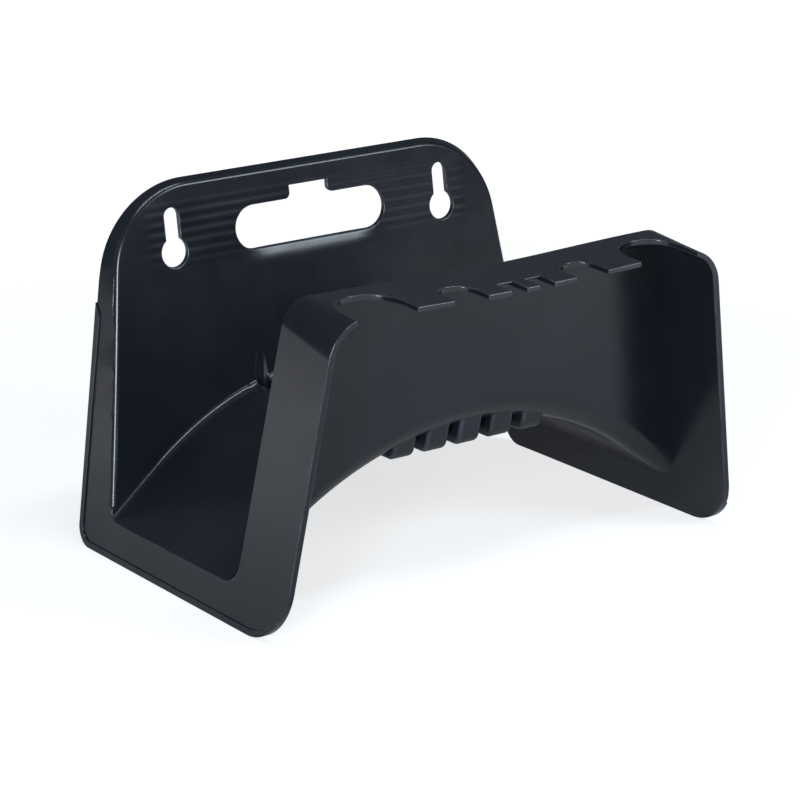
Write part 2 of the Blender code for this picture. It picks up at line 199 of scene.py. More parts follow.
# Y behind which the wall panel lies, Y before which the front plate does, and where that is cut
PANEL_ZONE = -0.06
FRONT_ZONE = -0.12
FRONT_CUT_ZONE = -0.13
FRONT_CUT_START = 0.05

# Flat stretches and the shading between them
LARGE_AREA = 0.0001
SMALL_AREA = 0.00003
PLAIN_AREA = 0.0008
SAME_PLANE = 0.00003
SLIVER_PLANE = SAME_PLANE * 4
SLIVER_WIDTH = 0.0001
SAME_DIRECTION = math.cos(math.radians(0.25))
JOINS_FLAT = math.cos(math.radians(40))
SHADED_TOGETHER = math.cos(math.radians(38))
SAME_SHADE = 0.99999
PROBE_STEP = 0.00005

# Narrow faces along the rounded outer edges that get a painted highlight
EDGE_HIGHLIGHT_WIDTH = 0.0009
EDGE_HIGHLIGHT_TURN = math.radians(8.5)
LONG_SIDE_SHARE = 0.6

# Unevenness of the surface. A pair is where it has faded out and where it is whole, in the frame
RIPPLE_PITCH = 0.0048
RIPPLE_DEPTH = 0.00008
RIPPLE_WANDER = 0.8
RIPPLE_BOTTOM = (0.128, 0.136)
RIPPLE_TOP = (0.166, 0.158)
RIPPLE_SIDE = (0.098, 0.088)
RIPPLE_FRONT = (0.074, 0.076)
VALLEY_DEPTH = 0.0003
VALLEY_TOP = (0.116, 0.080)
VALLEY_SIDE = (GROOVE_PITCH * 2.5, GROOVE_PITCH * 2.4)
VALLEY_FRONT = (0.071, 0.073)
GRAIN_DEPTH = 0.00004
GRAIN_STRENGTH = 0.12

# Facets of the round stretches
CORNER_STEPS = 20
SIDE_STEPS = 6
BEND_STEPS = 12
CREST_STEPS = 72
HOLE_STEPS = 24
EDGE_STEPS = 8
ROUNDING_STEPS = 3

# How far cutters reach past what they cut, or stay clear of it
BEYOND = 0.200
PANEL_CUT = OVERRUN * 4
TOUCH = 0.00002
LEDGE = 0.002
BEND_CLEARANCE = 0.0046

# What follows from these
FREE_EDGE_DISTANCE = FRONT_TOP_DISTANCE + FREE_EDGE_REACH
SHELF_DEPTH = FREE_EDGE_REACH - TAB_SETBACK
SADDLE_END = WIDTH_AT_BOTTOM / 2 - END_DRAFT * SADDLE_END_HEIGHT
SADDLE_FALL = math.tan(SADDLE_END_ANGLE) * SADDLE_END - (CREST_HEIGHT - SADDLE_END_HEIGHT)
CREST_RADIUS = SADDLE_FALL / (1 / math.cos(SADDLE_END_ANGLE) - 1)
KEYHOLE_OFFSET = WIDTH_AT_BOTTOM / 2 - RIM_DRAFT * HEIGHT - KEYHOLE_INSET
HANDLE_TOP = HEIGHT - HANDLE_BELOW_TOP
HANDLE_BOTTOM = HANDLE_TOP - HANDLE_OPENING
LARGE_CUTOUT_OFFSET = WIDTH_AT_BOTTOM / 2 - END_DRAFT * SHELF_HEIGHT - LARGE_CUTOUT_INSET

work = bpy.data.collections.new("working_shapes")
bpy.context.scene.collection.children.link(work)


def panel_face(height):
    """Y of the wall panel's front face at a height."""
    return -(PANEL_TOP_SETBACK + PANEL_LEAN * (HEIGHT - height))


def front_face(height):
    """Y of the front plate's face toward the trough at a height."""
    return -(FRONT_TOP_DISTANCE - FRONT_LEAN * (SHELF_HEIGHT - height))


def free_edge(height):
    """Y of the flanges' free edge at a height."""
    return -(FREE_EDGE_DISTANCE - FREE_EDGE_LEAN * (SHELF_HEIGHT - height))


def end_half_width(height):
    """X of the outer face of the end walls at a height."""
    return WIDTH_AT_BOTTOM / 2 - END_DRAFT * height


def arc(centre, radius, start, end, steps):
    """Points of an arc as pairs, from one angle to another."""
    angles = [start + (end - start) * step / steps for step in range(steps + 1)]
    return [(centre[0] + radius * math.cos(a), centre[1] + radius * math.sin(a)) for a in angles]


def eased(share):
    """Share from 0 to 1 with a smooth start and end."""
    share = min(1.0, max(0.0, share))
    return share * share * (3 - 2 * share)


def solid(name, mesh):
    """Puts a bmesh into the file as a working object."""
    data = bpy.data.meshes.new(name)
    mesh.to_mesh(data)
    mesh.free()
    item = bpy.data.objects.new(name, data)
    work.objects.link(item)
    item.hide_render = True
    return item


def loft(name, loops):
    """Closed solid through loops with equal numbers of points."""
    mesh = bmesh.new()
    rings = [[mesh.verts.new(point) for point in loop] for loop in loops]
    for near, far in zip(rings, rings[1:]):
        for i in range(len(near)):
            j = (i + 1) % len(near)
            mesh.faces.new((near[i], near[j], far[j], far[i]))
    mesh.faces.new(list(reversed(rings[0])))
    mesh.faces.new(rings[-1])
    bmesh.ops.recalc_face_normals(mesh, faces=mesh.faces)
    bmesh.ops.triangulate(mesh, faces=mesh.faces)
    return solid(name, mesh)


def box(name, low, high):
    """Block between two corners."""
    mesh = bmesh.new()
    bmesh.ops.create_cube(mesh, size=1.0)
    middle = (Vector(low) + Vector(high)) / 2
    size = Vector(high) - Vector(low)
    for vertex in mesh.verts:
        vertex.co = Vector(vertex.co[i] * size[i] + middle[i] for i in range(3))
    return solid(name, mesh)


def prism(name, points, axis, low, high):
    """Flat outline pushed along X, Y or Z between two positions."""
    place = {
        "X": lambda a, b, c: (c, a, b),
        "Y": lambda a, b, c: (a, c, b),
        "Z": lambda a, b, c: (a, b, c),
    }[axis]
    mesh = bmesh.new()
    near = [mesh.verts.new(place(a, b, low)) for a, b in points]
    far = [mesh.verts.new(place(a, b, high)) for a, b in points]
    count = len(points)
    for i in range(count):
        j = (i + 1) % count
        mesh.faces.new((near[i], near[j], far[j], far[i]))
    mesh.faces.new(list(reversed(near)))
    mesh.faces.new(far)
    bmesh.ops.recalc_face_normals(mesh, faces=mesh.faces)
    return solid(name, mesh)


def apply_modifiers(item):
    """Gives a working object the mesh that its modifiers make of it."""
    bpy.context.view_layer.update()
    graph = bpy.context.evaluated_depsgraph_get()
    made = bpy.data.meshes.new_from_object(item.evaluated_get(graph))
    item.modifiers.clear()
    item.data = made


def in_order(data):
    """Copy of a mesh with its points and faces sorted from the front to the wall, because a Boolean's
    own order differs from run to run."""
    points = [tuple(vertex.co) for vertex in data.vertices]
    order = sorted(range(len(points)), key=lambda i: (points[i][1], points[i][2], points[i][0]))
    rank = {old: new for new, old in enumerate(order)}
    faces = []
    for polygon in data.polygons:
        corners = [rank[i] for i in polygon.vertices]
        first = corners.index(min(corners))
        faces.append(corners[first:] + corners[:first])
    made = bpy.data.meshes.new(data.name)
    made.from_pydata([points[i] for i in order], [], sorted(faces))
    return made


def combine(name, base, tools, operation):
    """New solid from a base and its tools, by a Boolean for each tool."""
    result = base.copy()
    result.data = base.data.copy()
    result.name = name
    work.objects.link(result)
    for tool in tools:
        step = result.modifiers.new(tool.name, "BOOLEAN")
        step.operation = operation
        step.solver = "EXACT"
        step.object = tool
        apply_modifiers(result)
        result.data = in_order(result.data)
    return result


def outline(half_bottom, half_top, bottom, top, radius):
    """Front view of a drafted block with two round upper corners, as X and Z pairs."""
    lean = math.atan((half_bottom - half_top) / (top - bottom))
    reach = radius * math.tan((math.pi / 2 - lean) / 2)
    corner = arc((half_top - reach, top - radius), radius, lean, math.pi / 2, CORNER_STEPS)
    start_x, start_z = corner[0]
    shares = [step / SIDE_STEPS for step in range(SIDE_STEPS)]
    side = [(half_bottom + (start_x - half_bottom) * s, bottom + (start_z - bottom) * s) for s in shares]
    right = side + corner
    return right + [(-x, z) for x, z in reversed(right)]


def station(half_width, top, radius, face, inset, forward):
    """One section of the body: an outline that follows a leaning face."""
    bottom = -OVERRUN if inset > 0 else 0.0
    side = inset * math.sqrt(1 + END_DRAFT ** 2)
    shape = outline(half_width(bottom) - side, half_width(top) - side, bottom, top - inset, radius - inset)
    return [(x, face(z) - forward, z) for x, z in shape]


def rim_half_width(height):
    """X of the rim's outer edge on the wall at a height."""
    return WIDTH_AT_BOTTOM / 2 - RIM_DRAFT * height


def wall_section(inset, overrun):
    """Section of the body in the plane of the wall, or behind it by an overrun."""
    return station(rim_half_width, HEIGHT, RIM_CORNER_RADIUS, lambda z: 0.0, inset, -overrun)


def panel_edge_section(inset):
    """Section of the body just in front of the wall panel's face."""
    return station(end_half_width, HEIGHT - PANEL_EDGE_DROP, PANEL_CORNER_RADIUS, panel_face, inset,
                   PANEL_EDGE_REACH)


def body(name, inset):
    """Block that encloses the moulding, with the trough still filled."""
    overrun = OVERRUN if inset > 0 else 0.0
    sections = [
        wall_section(inset, overrun),
        panel_edge_section(inset),
        station(end_half_width, SHELF_HEIGHT + SHELF_DROP, FRONT_CORNER_RADIUS, front_face, inset,
                -PANEL_EDGE_REACH),
        station(end_half_width, SHELF_HEIGHT, FREE_CORNER_RADIUS, free_edge, inset, overrun),
    ]
    return loft(name, sections)


def channel(rear, front, floor, rear_radius, front_radius, rear_top, front_top):
    """Side view of a trough with two bends, as Y and Z pairs. A wall is Y at z = 0 and its lean."""
    rear_slope = math.sqrt(1 + rear[1] ** 2)
    front_slope = math.sqrt(1 + front[1] ** 2)
    rear_centre = (rear[0] + rear[1] * (floor + rear_radius) - rear_radius * rear_slope, floor + rear_radius)
    front_centre = (front[0] + front[1] * (floor + front_radius) + front_radius * front_slope,
                    floor + front_radius)
    points = [(rear[0] + rear[1] * rear_top, rear_top)]
    points += arc(rear_centre, rear_radius, -math.atan(rear[1]), -math.pi / 2, BEND_STEPS)
    points += arc(front_centre, front_radius, -math.pi / 2, -math.pi - math.atan(front[1]), BEND_STEPS)
    points.append((front[0] + front[1] * front_top, front_top))
    return points


def saddle_stations(offset):
    """X and floor height of the trough's sections: a round crest that runs into straight ends."""
    centre = CREST_HEIGHT - CREST_RADIUS
    radius = CREST_RADIUS - offset
    angles = [SADDLE_END_ANGLE * (2 * step / CREST_STEPS - 1) for step in range(CREST_STEPS + 1)]
    stations = [(radius * math.sin(a), centre + radius * math.cos(a)) for a in angles]
    reach = WIDTH_AT_BOTTOM / 2 + OVERRUN
    first, last = stations[0], stations[-1]
    fall = math.tan(SADDLE_END_ANGLE)
    start = (-reach, first[1] - fall * (reach + first[0]))
    end = (reach, last[1] - fall * (reach - last[0]))
    return [start] + stations + [end]


def on_rim(start, end, behind):
    """X and Z of the rim's surface at a depth behind the panel's face, on a line from the wall."""
    share = (panel_face(start[2]) + behind) / (end[1] - PANEL_LEAN * (end[2] - start[2]))
    return Vector((start[0] + (end[0] - start[0]) * share, start[2] + (end[2] - start[2]) * share))


def panel_sections():
    """Loops of the wall panel and rim as one block: those of a ledge outside the rim, and those by
    which the panel's edge runs round into the rim."""
    radius = PANEL_EDGE_RADIUS
    wall = wall_section(0.0, 0.0)
    edge = panel_edge_section(0.0)
    ledge_loops = [[], []]
    edge_loops = [[] for _ in range(EDGE_STEPS + 1)]
    for i, (start, end) in enumerate(zip(wall, edge)):
        before, after = edge[max(i - 1, 0)], edge[min(i + 1, len(edge) - 1)]
        along = Vector((after[0] - before[0], after[2] - before[2])).normalized()
        outward = Vector((along[1], -along[0]))
        flare = math.atan((on_rim(start, end, radius) - on_rim(start, end, 0.0)).dot(outward) / radius)
        setback = radius * (1 - math.sin(flare)) / math.cos(flare)
        deepest = radius * (1 - math.sin(flare))
        ledge = on_rim(start, end, deepest) + outward * LEDGE
        ledge_loops[0].append((ledge[0], OVERRUN, ledge[1]))
        ledge_loops[1].append((ledge[0], panel_face(ledge[1]) + deepest - TOUCH, ledge[1]))
        for step, loop in enumerate(edge_loops):
            angle = (math.pi / 2 - flare) * (1 - step / EDGE_STEPS)
            behind = radius * (1 - math.cos(angle))
            moved = radius * math.sin(angle) - setback - math.tan(flare) * behind - TOUCH / 2
            place = on_rim(start, end, behind) + outward * moved
            loop.append((place[0], panel_face(place[1]) + behind - TOUCH, place[1]))
    return ledge_loops, edge_loops


def trough(name, offset):
    """Space that the hose lies in, grown by an offset."""
    rear = (panel_face(0) + offset * math.sqrt(1 + PANEL_LEAN ** 2), PANEL_LEAN)
    front = (front_face(0) - offset * math.sqrt(1 + FRONT_LEAN ** 2), -FRONT_LEAN)
    radii = (REAR_BEND_RADIUS + offset, FRONT_BEND_RADIUS + offset)
    loops = []
    for x, floor in saddle_stations(offset):
        shape = channel(rear, front, floor, *radii, BEYOND, BEYOND)
        loops.append([(x, y, z) for y, z in shape])
    return loft(name, loops)


def grooves(name, offset):
    """Grooves across the crest, which fade out up both plates, grown by an offset."""
    floor = CREST_HEIGHT - GROOVE_DEPTH
    rear_fade = CREST_HEIGHT + GROOVE_REAR_RISE
    front_fade = CREST_HEIGHT + GROOVE_FRONT_RISE
    rear_low = panel_face(floor) + GROOVE_REAR_REACH
    rear_lean = (panel_face(rear_fade) - rear_low) / (rear_fade - floor)
    front_low = front_face(floor) - GROOVE_FRONT_REACH
    front_lean = (front_face(front_fade) - front_low) / (front_fade - floor)
    rear = (rear_low - rear_lean * floor + offset * math.sqrt(1 + rear_lean ** 2), rear_lean)
    front = (front_low - front_lean * floor - offset * math.sqrt(1 + front_lean ** 2), front_lean)
    plate = front_face(0) - offset * math.sqrt(1 + FRONT_LEAN ** 2)
    front_end = (plate - front[0]) / (front_lean + FRONT_LEAN)
    rounding = RIB_ROUNDING if offset > 0 else GROOVE_ROUNDING
    half = GROOVE_WIDTH / 2 + offset
    sections = []
    for step in range(EDGE_STEPS + 1):
        angle = math.pi / 2 * step / EDGE_STEPS
        grown = -rounding * (1 - math.sin(angle))
        moved = (rear[0] + grown, rear[1]), (front[0] - grown, front[1])
        rear_radius = max(GROOVE_REAR_RADIUS + offset + grown, SMALLEST_BEND)
        front_radius = max(GROOVE_FRONT_RADIUS + offset + grown, SMALLEST_BEND)
        shape = channel(*moved, floor - offset - grown, rear_radius, front_radius,
                        rear_fade + OVERRUN, front_end)
        sections.append((half - rounding * (1 - math.cos(angle)), shape))
    stations = [(-x, shape) for x, shape in sections] + [(x, shape) for x, shape in reversed(sections)]
    made = []
    for i in range(GROOVE_COUNT):
        middle = GROOVE_PITCH * (i - (GROOVE_COUNT - 1) / 2)
        made.append(loft(f"{name}_{i}", [[(middle + x, y, z) for y, z in shape] for x, shape in stations]))
    return made


def front_foot_centre():
    """Y of the middle of the front feet's rounding, which touches the free edge and the floor."""
    return free_edge(FRONT_FOOT_RADIUS) + FRONT_FOOT_RADIUS * math.sqrt(1 + FREE_EDGE_LEAN ** 2)


def foot_corners():
    """Cutters that round the rear and front corners of the end walls' lower edge."""
    half = WIDTH_AT_BOTTOM / 2 + OVERRUN
    radius = REAR_FOOT_RADIUS
    bend = arc((-radius, radius), radius + TOUCH, 0.0, -math.pi / 2, CORNER_STEPS)
    rear = [(OVERRUN, -OVERRUN), (OVERRUN, radius)] + bend + [(-radius, -OVERRUN)]
    radius = FRONT_FOOT_RADIUS
    y = front_foot_centre()
    lean = math.atan(FREE_EDGE_LEAN)
    bend = arc((y, radius), radius + TOUCH, -math.pi / 2, -math.pi + lean, CORNER_STEPS)
    far = free_edge(0) - OVERRUN
    front = [(y, -OVERRUN)] + bend + [(far, bend[-1][1]), (far, -OVERRUN)]
    outlines = {"rear_foot_corner": rear, "front_foot_corner": front}
    return [prism(name, points, "X", -half, half) for name, points in outlines.items()]


def lip():
    """Slightly proud strip along the end walls' lower edge, up the rear and round the front feet."""
    half = WIDTH_AT_BOTTOM / 2 + OVERRUN
    rear_radius = REAR_FOOT_RADIUS - LIP_HEIGHT
    centre = front_foot_centre()
    top = HEIGHT - LIP_BELOW_TOP
    strip = [(OVERRUN, -OVERRUN), (OVERRUN, top), (0.0, top), (-LIP_HEIGHT, top - LIP_FADE)]
    strip += arc((-REAR_FOOT_RADIUS, REAR_FOOT_RADIUS), rear_radius, 0.0, -math.pi / 2, CORNER_STEPS)
    for step in range(CORNER_STEPS + 1):
        share = step / CORNER_STEPS
        angle = -math.pi / 2 - share * LIP_TURN
        radius = FRONT_FOOT_RADIUS - LIP_HEIGHT * (1 - LIP_TAPER * share ** 4)
        strip.append((centre + radius * math.cos(angle), FRONT_FOOT_RADIUS + radius * math.sin(angle)))
    beyond = FRONT_FOOT_RADIUS + OVERRUN
    strip.append((centre + beyond * math.cos(angle), FRONT_FOOT_RADIUS + beyond * math.sin(angle)))
    strip.append((centre - beyond, -OVERRUN))
    band = prism("lip_band", strip, "X", -half, half)
    return combine("lip", body("lip_body", -LIP_PROUD), [band], "INTERSECT")


def keyhole(name, middle):
    """Round head with a slot that rises from it."""
    half = KEYHOLE_SLOT_WIDTH / 2
    side = math.asin(half / KEYHOLE_HEAD_RADIUS)
    head = arc((middle, HEIGHT - KEYHOLE_HEAD_BELOW_TOP), KEYHOLE_HEAD_RADIUS, math.pi / 2 + side,
               math.pi * 5 / 2 - side, HOLE_STEPS * 2)
    top = arc((middle, HEIGHT - KEYHOLE_SLOT_BELOW_TOP - half), half, 0.0, math.pi, HOLE_STEPS)
    return prism(name, head + top, "Y", -PANEL_CUT, OVERRUN)


def handle_slot():
    """Long slot with round ends and a notch with rounded ears in its upper edge."""
    radius = (HANDLE_TOP - HANDLE_BOTTOM) / 2
    middle = (HANDLE_TOP + HANDLE_BOTTOM) / 2
    straight = HANDLE_WIDTH / 2 - radius
    right = arc((straight, middle), radius, -math.pi / 2, math.pi / 2, HOLE_STEPS)
    ear = arc((NOTCH_WIDTH / 2 + NOTCH_EAR_RADIUS, HANDLE_TOP + NOTCH_EAR_RADIUS), NOTCH_EAR_RADIUS,
              -math.pi / 2, -math.pi, BEND_STEPS)
    half = right + ear + [(NOTCH_WIDTH / 2, HANDLE_TOP + NOTCH_RISE)]
    points = half + [(-x, z) for x, z in reversed(half)]
    return prism("handle_slot", points, "Y", -PANEL_CUT, OVERRUN)


def shelf_cutouts():
    """Openings in the shelf for accessories, all open toward the front."""
    back = front_face(SHELF_HEIGHT)
    beyond = back - SHELF_DEPTH - OVERRUN
    low = SHELF_HEIGHT - FRONT_CORNER_RADIUS
    high = SHELF_HEIGHT + OVERRUN
    made = []
    for side in (-1, 1):
        for offset, setback, radius in ((LARGE_CUTOUT_OFFSET, LARGE_CUTOUT_SETBACK, LARGE_CUTOUT_RADIUS),
                                        (SMALL_CUTOUT_OFFSET, SMALL_CUTOUT_SETBACK, SMALL_CUTOUT_RADIUS)):
            x = side * offset
            shape = arc((x, back - setback), radius, 0.0, math.pi, HOLE_STEPS * 2)
            shape += [(x - radius, beyond), (x + radius, beyond)]
            made.append(prism(f"cutout_{len(made)}", shape, "Z", low, high))
        x = side * SLIT_OFFSET
        slit_end = back - SHELF_DEPTH + SLIT_DEPTH
        near, far = (x - SLIT_WIDTH / 2, beyond, low), (x + SLIT_WIDTH / 2, slit_end, high)
        made.append(box(f"slit_{len(made)}", near, far))
    tab_reach = LARGE_CUTOUT_OFFSET + LARGE_CUTOUT_RADIUS
    made.append(box("tab_trim", (-tab_reach, beyond, low), (tab_reach, back - SHELF_DEPTH, high)))
    return made


def moulding():
    """Whole hanger in one piece."""
    block = combine("block", body("outer_body", 0.0), [lip()], "UNION")
    reach = trough("edge_reach", 0.0)
    reach.data.transform(Matrix.Translation((0.0, PANEL_EDGE_RADIUS, BEND_CLEARANCE)))
    ledge_loops, edge_loops = panel_sections()
    panel_block = loft("panel_block", ledge_loops + edge_loops)
    edge_relief = combine("edge_relief", reach, [panel_block], "DIFFERENCE")
    outer_cuts = foot_corners() + [trough("outer_trough", 0.0), edge_relief] + grooves("outer_groove", 0.0)
    outer = combine("outer_form", block, outer_cuts, "DIFFERENCE")
    inner_cuts = [trough("inner_trough", WALL)] + grooves("inner_groove", WALL)
    inner = combine("inner_form", body("inner_body", WALL), inner_cuts, "DIFFERENCE")
    openings = [keyhole("keyhole_left", -KEYHOLE_OFFSET), keyhole("keyhole_right", KEYHOLE_OFFSET)]
    openings.append(handle_slot())
    openings += shelf_cutouts()
    return combine("moulding", outer, [inner] + openings, "DIFFERENCE")


def rounding_at(point):
    """How far the moulding is rounded at an edge that passes through a point."""
    at_foot = point.z < LIP_HEIGHT + LIP_ZONE_MARGIN
    at_rear = point.y > -REAR_ZONE and point.z < HEIGHT - LIP_BELOW_TOP + LIP_ZONE_MARGIN
    return LIP_ROUNDING if at_foot or at_rear else EDGE_ROUNDING


def clear_of_lip_ends(point):
    """Share of its rounding that an edge keeps: none where the lip ends on the outer side."""
    if abs(point.x) < end_half_width(point.z) - WALL / 2:
        return 1.0
    tip = Vector((front_foot_centre() - FRONT_FOOT_RADIUS * math.sin(LIP_TURN),
                  FRONT_FOOT_RADIUS * (1 - math.cos(LIP_TURN))))
    return eased(((point.yz - tip).length - LIP_END_CLEARANCE) / LIP_END_FADE)


def lies_on(point, line):
    """Whether a point lies on a line through points."""
    for start, end in zip(line, line[1:]):
        place, share = intersect_point_line(point, start, end)
        beside = -SEAM_OVERLAP < share < 1 + SEAM_OVERLAP
        if beside and (place - point).length < SEAM_WIDTH:
            return True
    return False


def room_beside(edges):
    """For each sharp edge, the distance to the nearest sharp edge that runs beside it."""
    samples = []
    for edge in edges:
        start, end = (vertex.co for vertex in edge.verts)
        count = max(1, math.ceil((end - start).length / SAMPLE_STEP))
        along = (end - start).normalized()
        samples += [(start.lerp(end, (i + 0.5) / count), along, edge) for i in range(count)]
    tree = KDTree(len(samples))
    for i, sample in enumerate(samples):
        tree.insert(sample[0], i)
    tree.balance()
    room = {edge: math.inf for edge in edges}
    for place, along, edge in samples:
        for other, i, distance in tree.find_range(place, SEARCH_REACH):
            if samples[i][2] is edge or abs(samples[i][1].dot(along)) < ALONGSIDE:
                continue
            ahead = (other - place).dot(along)
            beside = math.sqrt(max(0.0, distance ** 2 - ahead ** 2))
            if beside > abs(ahead) * BESIDE_SHARE and beside > NO_ROOM:
                room[edge] = min(room[edge], beside)
    return room


def soften(item):
    """Rounds the outward edges of a sharp moulding, as far as the room beside each allows."""
    seam = [Vector(point) for point in panel_sections()[1][0]]
    mesh = bmesh.new()
    mesh.from_mesh(item.data)
    bmesh.ops.remove_doubles(mesh, verts=mesh.verts, dist=MERGED_WITHIN)
    bmesh.ops.dissolve_degenerate(mesh, edges=mesh.edges, dist=DEGENERATE_LENGTH)
    bmesh.ops.dissolve_limit(mesh, angle_limit=FLAT_WITHIN, verts=mesh.verts, edges=mesh.edges)
    layer = mesh.edges.layers.float.new("bevel_weight_edge")
    edges = [edge for edge in mesh.edges if len(edge.link_faces) == 2]
    edges = [edge for edge in edges if edge.calc_face_angle_signed(0.0) > ROUNDED_FROM]
    edges = [edge for edge in edges if not all(lies_on(vertex.co, seam) for vertex in edge.verts)]
    room = room_beside(edges)
    for edge in edges:
        middle = (edge.verts[0].co + edge.verts[1].co) / 2
        width = min(rounding_at(middle), room[edge] * ROOM_SHARE)
        edge[layer] = width / EDGE_ROUNDING * clear_of_lip_ends(middle)
    loose = [edge for edge in mesh.edges if not edge.link_faces]
    bmesh.ops.delete(mesh, geom=loose, context="EDGES")
    sharp = BVHTree.FromBMesh(mesh)
    mesh.to_mesh(item.data)
    mesh.free()
    rounding = item.modifiers.new("rounding", "BEVEL")
    rounding.limit_method = "WEIGHT"
    rounding.width = EDGE_ROUNDING
    rounding.segments = ROUNDING_STEPS
    rounding.use_clamp_overlap = False
    apply_modifiers(item)
    for vertex in item.data.vertices:
        place, _, _, distance = sharp.find_nearest(vertex.co)
        if distance > EDGE_ROUNDING / 2:
            vertex.co = place


def before_trough(face):
    """Whether a face belongs to the front plate or the shelf."""
    top = max(vertex.co.z for vertex in face.verts)
    return face.calc_center_median().y < FRONT_CUT_ZONE and top > FRONT_CUT_START


def below_slot(face):
    """Whether a face of the wall panel reaches the part that rolls back below the handle slot."""
    heights = [vertex.co.z for vertex in face.verts]
    sides = [vertex.co.x for vertex in face.verts]
    across = min(sides) < ROLL_HALF_WIDTH and max(sides) > -ROLL_HALF_WIDTH
    level = min(heights) < HANDLE_BOTTOM + ROLL_ABOVE and max(heights) > HANDLE_BOTTOM - ROLL_BELOW
    return across and level and min(vertex.co.y for vertex in face.verts) > PANEL_ZONE


def cut_plane(mesh, chosen, place, direction):
    """Adds edges along a plane to the chosen faces."""
    faces = [face for face in mesh.faces if chosen(face)]
    edges = {edge for face in faces for edge in face.edges}
    verts = {vertex for face in faces for vertex in face.verts}
    bmesh.ops.bisect_plane(mesh, geom=list(verts) + list(edges) + faces, dist=CUT_TOLERANCE,
                           plane_co=place, plane_no=direction)


def slice_bent(item):
    """Cuts the stretches that bow or roll into narrow strips, so that they can bend smoothly."""
    mesh = bmesh.new()
    mesh.from_mesh(item.data)
    for i in range(1, BOW_STRIPS):
        x = BOW_HALF_WIDTH * (2 * i / BOW_STRIPS - 1)
        cut_plane(mesh, before_trough, (x, 0.0, 0.0), (1.0, 0.0, 0.0))
    for i in range(BOW_LEVELS + 1):
        z = BOW_START + (BOW_CUTS_END - BOW_START) * i / BOW_LEVELS
        cut_plane(mesh, before_trough, (0.0, 0.0, z), (0.0, 0.0, 1.0))
    for i in range(ROLL_LEVELS + 1):
        z = HANDLE_BOTTOM - ROLL_BELOW + (ROLL_BELOW + ROLL_ABOVE) * i / ROLL_LEVELS
        cut_plane(mesh, below_slot, (0.0, 0.0, z), (0.0, 0.0, 1.0))
    for i in range(ROLL_STRIPS + 1):
        x = ROLL_HALF_WIDTH * (2 * i / ROLL_STRIPS - 1)
        cut_plane(mesh, below_slot, (x, 0.0, 0.0), (1.0, 0.0, 0.0))
    mesh.to_mesh(item.data)
    mesh.free()


def bow(point):
    """Where a point of the straight moulding lies once its shelf has bowed forward and sagged, and
    the wall panel has rolled back below the handle slot."""
    x, y, z = point
    if y > PANEL_ZONE:
        across = eased((ROLL_HALF_WIDTH - abs(x)) / ROLL_FADE)
        if z < HANDLE_BOTTOM:
            rolled = max(0.0, 1 - (HANDLE_BOTTOM - z) / ROLL_BELOW) ** 2
        else:
            rolled = 1 - eased((z - HANDLE_BOTTOM) / ROLL_ABOVE)
        return (x, y + ROLL_DEPTH * across * rolled, z)
    if y > FRONT_ZONE or abs(x) > BOW_HALF_WIDTH:
        return (x, y, z)
    rise = eased((z - BOW_START) / (SHELF_HEIGHT - BOW_START))
    share = rise * math.cos(math.pi * x / 2 / BOW_HALF_WIDTH) ** 2
    return (x, y - SHELF_BOW * share, z - SHELF_SAG * share)


def connected_flats(mesh):
    """Group number of each face, and the faces of each group: a group is one flat stretch."""
    group = [-1] * len(mesh.faces)
    members = []
    for face in mesh.faces:
        if group[face.index] >= 0:
            continue
        number = len(members)
        members.append([])
        waiting = [face]
        group[face.index] = number
        while waiting:
            now = waiting.pop()
            members[number].append(now)
            for edge in now.edges:
                for other in edge.link_faces:
                    if group[other.index] < 0 and other.normal.dot(face.normal) > SAME_DIRECTION:
                        group[other.index] = number
                        waiting.append(other)
    return group, members


def in_plane(face, normal, distance):
    """Whether a small face lies in a plane. A sliver may face anywhere and lie a little further off."""
    thin = face.calc_area() < SLIVER_WIDTH * max(edge.calc_length() for edge in face.edges) / 2
    if not thin and face.normal.dot(normal) < JOINS_FLAT:
        return False
    reach = SLIVER_PLANE if thin else SAME_PLANE
    return all(abs(vertex.co.dot(normal) - distance) < reach for vertex in face.verts)


def flat_groups(mesh):
    """Group number of each face, and each group's normal and area. A large flat stretch also takes
    in the small faces beside it that lie in its plane."""
    group, members = connected_flats(mesh)
    normals = []
    areas = []
    for faces in members:
        total = Vector()
        for face in faces:
            total += face.normal * face.calc_area()
        areas.append(sum(face.calc_area() for face in faces))
        normals.append(total.normalized() if total.length > 0 else faces[0].normal.copy())

    for number in sorted(range(len(members)), key=lambda i: -areas[i]):
        if areas[number] < LARGE_AREA:
            break
        distance = members[number][0].verts[0].co.dot(normals[number])
        waiting = list(members[number])
        while waiting:
            for vertex in waiting.pop().verts:
                for other in vertex.link_faces:
                    if areas[group[other.index]] > SMALL_AREA or group[other.index] == number:
                        continue
                    if in_plane(other, normals[number], distance):
                        group[other.index] = number
                        waiting.append(other)
    return group, normals, areas


def even_normals(data):
    """Corner normals by which flat faces stay flat and round stretches run smoothly into them."""
    mesh = bmesh.new()
    mesh.from_mesh(data)
    mesh.faces.ensure_lookup_table()
    group, directions, areas = flat_groups(mesh)
    normals = []
    for face in mesh.faces:
        own = directions[group[face.index]]
        if areas[group[face.index]] > PLAIN_AREA:
            normals += [own] * len(face.loops)
            continue
        for loop in face.loops:
            total = Vector()
            for other in loop.vert.link_loops:
                number = group[other.face.index]
                if directions[number].dot(own) > SHADED_TOGETHER:
                    total += directions[number] * areas[number] * other.calc_angle()
            normals.append(total.normalized() if total.length > 0 else own.copy())
    mesh.free()
    return normals


